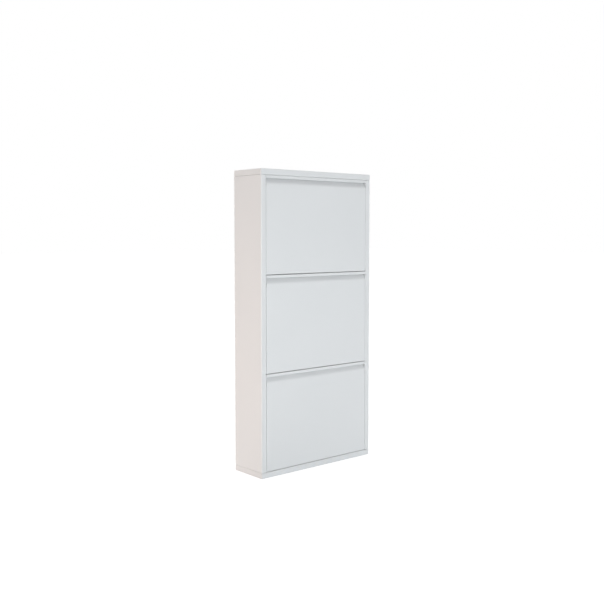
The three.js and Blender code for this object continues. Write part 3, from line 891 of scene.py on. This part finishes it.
def stop_stud(node, hand):
    """A stop stud: a riveted neck through the cheek and a nylon collar beyond it."""
    neck = HEAD_HEIGHT + STUD_NECK
    return headed_pin(node, hand, lambda length: [
        (HEAD_HEIGHT, PIN_RADIUS),
        (neck, PIN_RADIUS),
        (neck, STUD_RADIUS),
        (length, STUD_RADIUS),
        (length, 0),
    ], [SOFT, SOFT, 2 * SOFT, STUD_EDGE])


HANDS = (("left", -1), ("right", 1))
tray("top_tray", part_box("top_tray")[0].z, TRAY_LIP)
tray("base_tray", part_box("base_tray")[0].z, 0)
back_panel("back_panel")
for hand_name, hand in HANDS:
    side_panel("side_panel_" + hand_name, hand)
    wall_plate("wall_plate_" + hand_name)
    for end_name in ("front", "rear"):
        corner_name = end_name + "_" + hand_name
        glide("glide_" + corner_name)
        screw("top_screw_" + corner_name, False)
        screw("base_screw_" + corner_name, True)
for door_name in DOOR_NAMES:
    door_front(door_name + "_door_front")
    shoe_tray(door_name + "_shoe_tray")
    rod(door_name + "_rod")
    for hand_name, hand in HANDS:
        bush(door_name + "_bush_" + hand_name, hand)
        buffer(door_name + "_buffer_" + hand_name)
        cheek(door_name + "_cheek_" + hand_name, hand_name)
        pivot_pin(door_name + "_pivot_pin_" + hand_name, hand)
        stop_stud(door_name + "_stop_stud_" + hand_name, hand)


# Floor, light and camera


def add_background(nodes, colour, strength=1.0):
    """A backdrop or light colour for the world."""
    background = nodes.new("ShaderNodeBackground")
    background.inputs["Color"].default_value = (*colour, 1)
    background.inputs["Strength"].default_value = strength
    return background


def add_matt_paint(nodes, colour):
    """A matt paint for the floor."""
    paint = nodes.new("ShaderNodeBsdfDiffuse")
    paint.inputs["Color"].default_value = (*colour, 1)
    return paint


def for_camera(tree, output_kind, seen, unseen):
    """Shows the camera one shader, and everything else the other."""
    choice, out = tree.nodes.new("ShaderNodeMixShader"), tree.nodes.new(output_kind)
    rays = tree.nodes.new("ShaderNodeLightPath")
    tree.links.new(rays.outputs["Is Camera Ray"], choice.inputs[0])
    tree.links.new(unseen.outputs[0], choice.inputs[1])
    tree.links.new(seen.outputs[0], choice.inputs[2])
    tree.links.new(choice.outputs[0], out.inputs["Surface"])


def pale_floor():
    """A plain pale floor. The camera sees it almost white, and the cabinet gets a softer light from it."""
    mesh = bpy.data.meshes.new("floor")
    corners = [(-1, -1, 0), (1, -1, 0), (1, 1, 0), (-1, 1, 0)]
    mesh.from_pydata(FLOOR_REACH * np.array(corners), [], [(0, 1, 2, 3)])
    floor = bpy.data.objects.new("floor", mesh)
    bpy.context.scene.collection.objects.link(floor)
    material = bpy.data.materials.new("pale floor")
    material.use_nodes = True
    tree = material.node_tree
    tree.nodes.clear()
    seen = tree.nodes.new("ShaderNodeAddShader")
    shine = tree.nodes.new("ShaderNodeEmission")
    shine.inputs["Strength"].default_value = FLOOR_GLOW
    tree.links.new(shine.outputs[0], seen.inputs[0])
    tree.links.new(add_matt_paint(tree.nodes, FLOOR_PAINT).outputs[0], seen.inputs[1])
    for_camera(tree, "ShaderNodeOutputMaterial", seen, add_matt_paint(tree.nodes, FLOOR_BOUNCE))
    mesh.materials.append(material)


def studio_world():
    """A white backdrop for the camera, and a softer even light for everything else."""
    world = bpy.data.worlds.new("studio")
    bpy.context.scene.world = world
    world.use_nodes = True
    tree = world.node_tree
    tree.nodes.clear()
    seen = add_background(tree.nodes, WHITE)
    for_camera(tree, "ShaderNodeOutputWorld", seen, add_background(tree.nodes, WHITE, WORLD_LIGHT))


def soft_box(name, place, size, power, colour):
    """A square soft box that faces the cabinet's middle."""
    lamp = bpy.data.lights.new(name, "AREA")
    lamp.shape = "SQUARE"
    lamp.size = size
    lamp.energy = power
    lamp.color = colour
    box = bpy.data.objects.new(name, lamp)
    bpy.context.scene.collection.objects.link(box)
    box.location = place
    aim = (cad_box[0] + cad_box[1]) / 2 - Vector(place)
    box.rotation_euler = aim.to_track_quat("-Z", "Y").to_euler()


def add_camera():
    """The camera, level from side to side."""
    camera_data = bpy.data.cameras.new("camera")
    camera_data.sensor_width = 36
    camera_data.lens = LENS
    camera_data.shift_y = LENS_SHIFT
    camera = bpy.data.objects.new("camera", camera_data)
    bpy.context.scene.collection.objects.link(camera)
    camera.location = CAMERA_PLACE
    camera.rotation_euler = (math.radians(90 - LOOKS_DOWN), 0, math.radians(-LOOKS_RIGHT))
    return camera


pale_floor()
studio_world()
soft_box("main soft box", (-4.2, -5.0, 1.4), 3.0, 164, COOL)
soft_box("warm left soft box", (-1.9, 0.3, 0.1), 0.8, 15, WARM)
soft_box("cool front soft box", (0.4, -2.3, 0.15), 1.2, 20, BLUER)
soft_box("rear soft box", (0.8, 5.2, 1.2), 2.2, 105, CREAM)
soft_box("right soft box", (4.4, 1.2, 1.1), 2.0, 62, WHITE)
soft_box("high rear soft box", (0.2, 1.2, 4.2), 1.5, 40, WHITE)
bpy.context.scene.camera = add_camera()
bpy.context.scene.view_settings.view_transform = "Standard"
